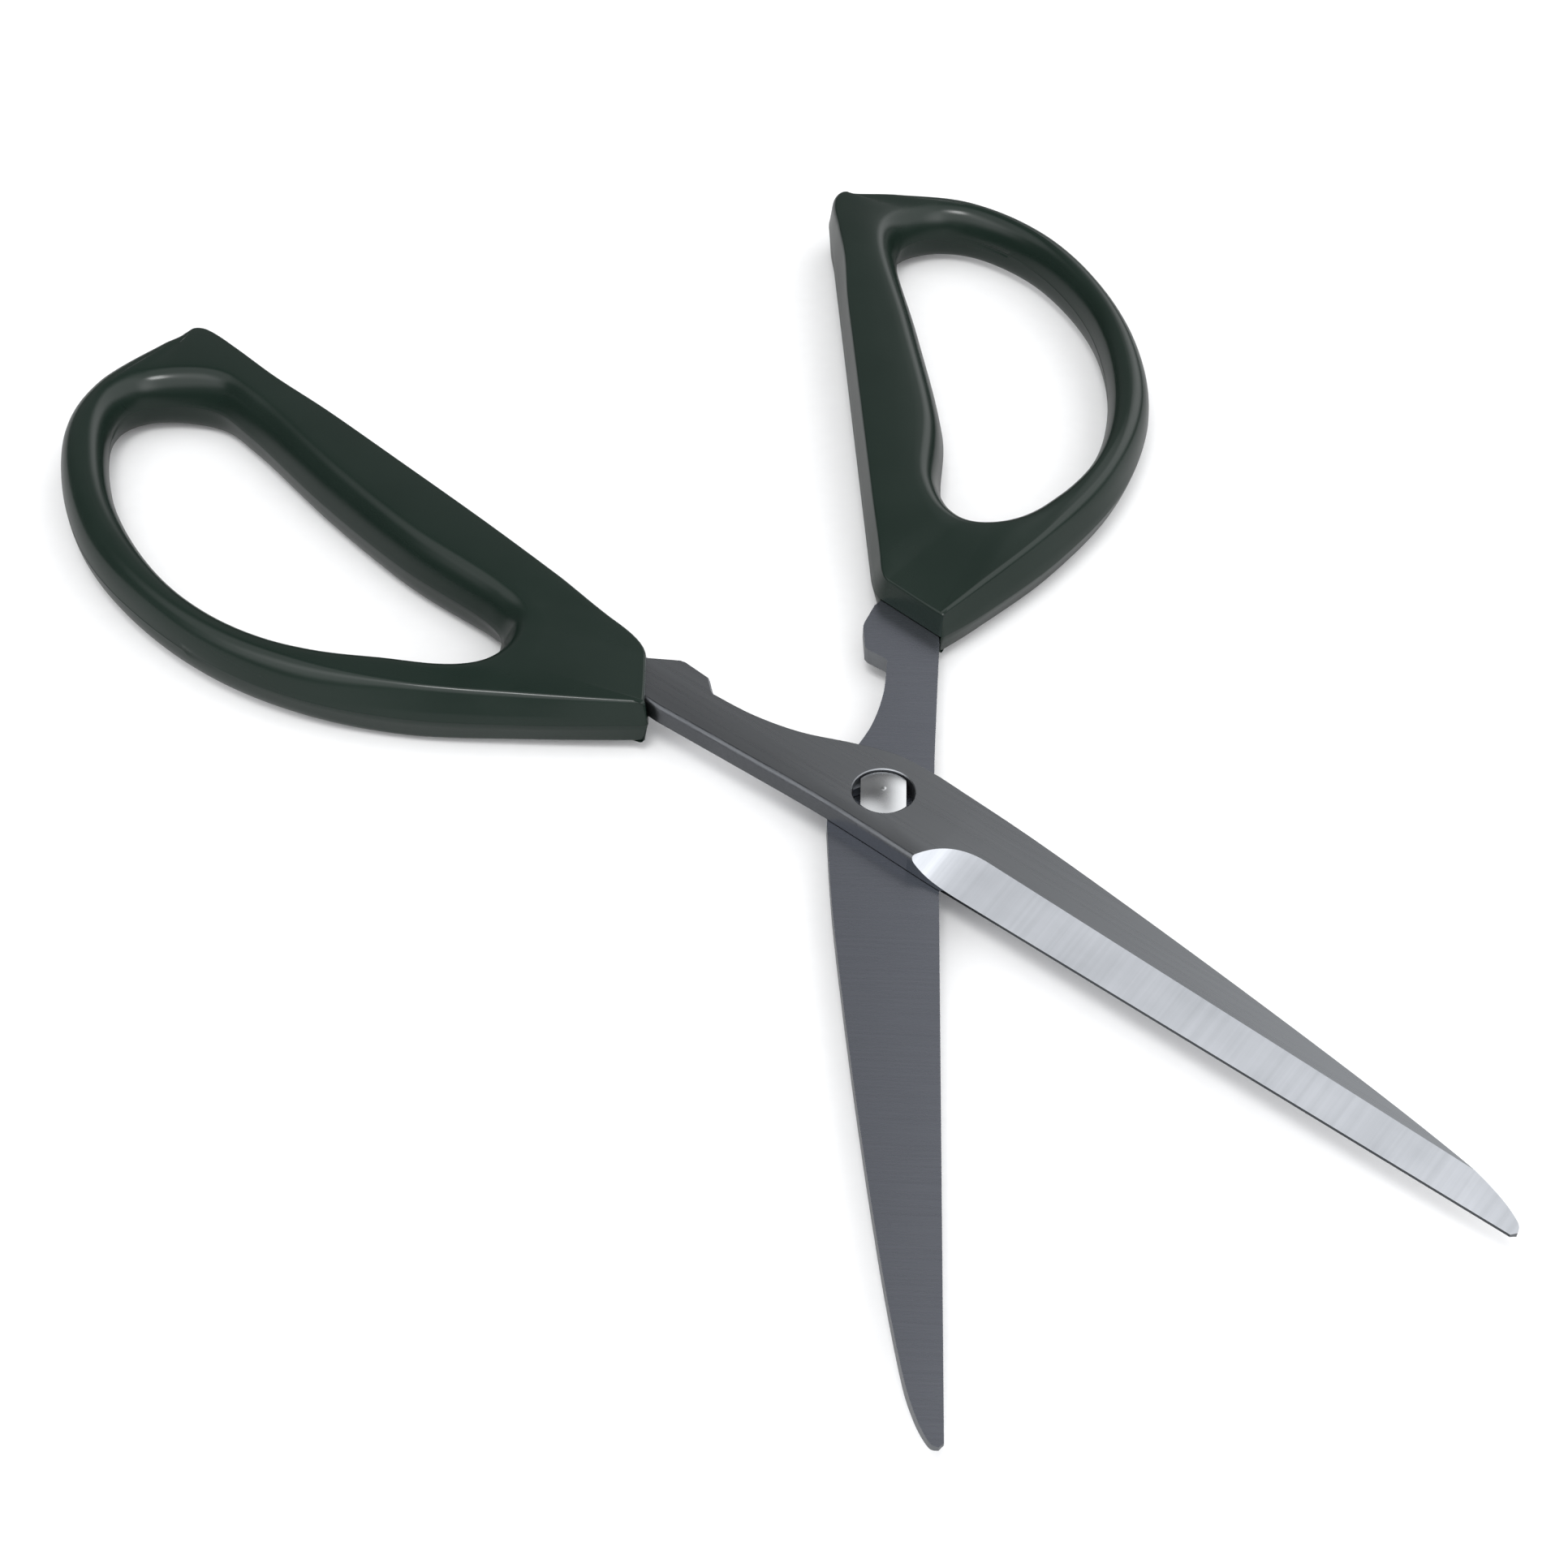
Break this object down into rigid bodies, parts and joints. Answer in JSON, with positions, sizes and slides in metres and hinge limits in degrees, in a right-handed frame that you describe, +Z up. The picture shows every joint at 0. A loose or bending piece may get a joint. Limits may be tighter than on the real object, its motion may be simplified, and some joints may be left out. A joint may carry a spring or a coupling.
{
  "type": "fabric shears",
  "caption": "Long-bladed fabric shears lying open, with two flat steel blades on a two-flat lift-off pivot stud and moulded plastic bows for fingers and thumb.",
  "frame": {"origin": "under the middle of the open shears, level with the undersides of the handle bars", "axes": "+Z up, parallel to the pivot axis; the rear blade points along -Y and the front blade lies above it, turned 51.4 degrees towards +X"},
  "size_m": [0.2022, 0.2484, 0.012],
  "materials": {
    "blade_steel": "satin ground faces, cross-ground bevel",
    "pivot_steel": "turned, bright",
    "handle_plastic": "moulded, dark green-black, glossy"
  },
  "bodies": {
    "rear_half": {"rear_blade": "blade_steel", "thumb_handle": "handle_plastic", "pivot_stud": "pivot_steel", "pivot_washer": "pivot_steel"},
    "front_half": {"front_blade": "blade_steel", "finger_handle": "handle_plastic"}
  },
  "joints": [
    {"name": "pivot", "type": "hinge", "parent": "rear_half", "child": "front_half", "pos_m": [0.02396, -0.02023, 0.006], "axis": [0, 0, 1], "range_deg": [-43.4, 52]}
  ]
}
